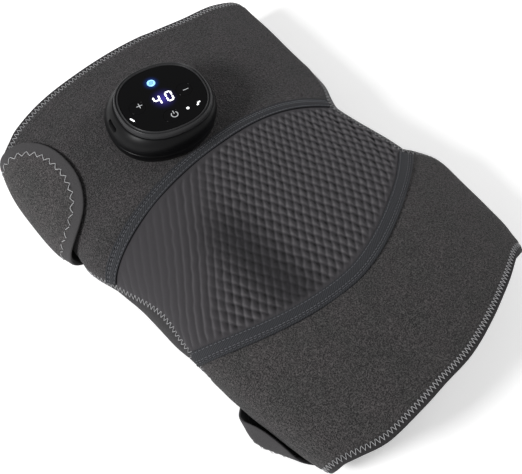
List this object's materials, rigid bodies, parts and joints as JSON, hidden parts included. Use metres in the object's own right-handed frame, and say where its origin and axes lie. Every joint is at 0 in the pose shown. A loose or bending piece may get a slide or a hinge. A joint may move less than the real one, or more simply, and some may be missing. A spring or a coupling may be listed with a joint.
{
  "type": "heated knee massager",
  "caption": "Closed fabric knee wrap with a quilted knee panel between curved bound seams, hook-and-loop straps round the back and a round control unit with a lit display on the thigh.",
  "frame": {"origin": "middle of the footprint, on the surface that the wrap lies on", "axes": "+Y along the leg towards the thigh, +Z out of the knee, +X to the wearer's view's right across the leg"},
  "size_m": [0.2046, 0.2824, 0.0717],
  "materials": {
    "charcoal_velour": "short raised pile",
    "quilted_knit": "embossed knit",
    "binding_tape": "woven, flat",
    "plush_lining": "soft pile",
    "hook_fabric": "hook field",
    "black_shell": "satin",
    "grey_rim": "satin",
    "black_gloss": "high gloss",
    "bright_steel": "bright",
    "heater_foil": "film",
    "flat_lead": "film",
    "cutoff_case": "satin",
    "sensor_case": "satin",
    "display_blue": "satin",
    "circuit_green": "satin",
    "battery_wrap": "shrink film"
  },
  "bodies": {
    "wrap": {"upper_front_panel": "charcoal_velour", "lower_front_panel": "charcoal_velour", "upper_left_wing": "charcoal_velour", "upper_right_wing": "charcoal_velour", "lower_left_wing": "charcoal_velour", "lower_right_wing": "charcoal_velour", "upper_strap": "charcoal_velour", "lower_strap": "charcoal_velour", "knee_panel": "quilted_knit", "upper_seam_tape": "binding_tape", "lower_seam_tape": "binding_tape", "inner_lining": "plush_lining", "lower_housing": "black_shell", "upper_housing": "black_shell", "clamp_plate": "black_shell", "left_pod_shell": "black_shell", "right_pod_shell": "black_shell", "left_pod_lid": "black_shell", "right_pod_lid": "black_shell", "plus_switch": "black_shell", "minus_switch": "black_shell", "power_switch": "black_shell", "rim_ring": "grey_rim", "display_glass": "black_gloss", "left_motor_can": "bright_steel", "right_motor_can": "bright_steel", "charging_socket": "bright_steel", "board_screw_1": "bright_steel", "board_screw_2": "bright_steel", "board_screw_3": "bright_steel", "clamp_screw_1": "bright_steel", "clamp_screw_2": "bright_steel", "clamp_screw_3": "bright_steel", "heating_film": "heater_foil", "film_lead": "flat_lead", "overheat_cutoff": "cutoff_case", "temperature_sensor": "sensor_case", "display_module": "display_blue", "main_board": "circuit_green", "battery_cell": "battery_wrap"},
    "upper_tab": {"upper_strap_tab": "charcoal_velour", "upper_hook_pad": "hook_fabric"},
    "lower_tab": {"lower_strap_tab": "charcoal_velour", "lower_hook_pad": "hook_fabric"},
    "plus_button": {"plus_key": "black_gloss"},
    "minus_button": {"minus_key": "black_gloss"},
    "power_button": {"power_key": "black_gloss"},
    "left_rotor": {"left_motor_weight": "bright_steel"},
    "right_rotor": {"right_motor_weight": "bright_steel"}
  },
  "joints": [
    {"name": "upper_tab_peel", "type": "hinge", "parent": "wrap", "child": "upper_tab", "pos_m": [-0.1017, 0.09816, 0.0191], "axis": [-0.0189, -0.9998, 0.0021], "range_deg": [0, 95]},
    {"name": "lower_tab_peel", "type": "hinge", "parent": "wrap", "child": "lower_tab", "pos_m": [-0.06688, -0.09234, 0], "axis": [0.131, -0.9914, 0], "range_deg": [0, 75]},
    {"name": "plus_press", "type": "slide", "parent": "wrap", "child": "plus_button", "axis": [0, 0, -1], "range_m": [0, 0.0004], "stiffness_N_per_m": 1500},
    {"name": "minus_press", "type": "slide", "parent": "wrap", "child": "minus_button", "axis": [0, 0, -1], "range_m": [0, 0.0004], "stiffness_N_per_m": 1500},
    {"name": "power_press", "type": "slide", "parent": "wrap", "child": "power_button", "axis": [0, 0, -1], "range_m": [0, 0.0004], "stiffness_N_per_m": 1500},
    {"name": "left_motor_spin", "type": "hinge", "parent": "wrap", "child": "left_rotor", "pos_m": [-0.05179, -0.00434, 0.03683], "axis": [0.9788, 0, 0.2046], "continuous": true},
    {"name": "right_motor_spin", "type": "hinge", "parent": "wrap", "child": "right_rotor", "pos_m": [0.0284, -0.00434, 0.04085], "axis": [0.9965, 0, -0.0832], "continuous": true}
  ]
}
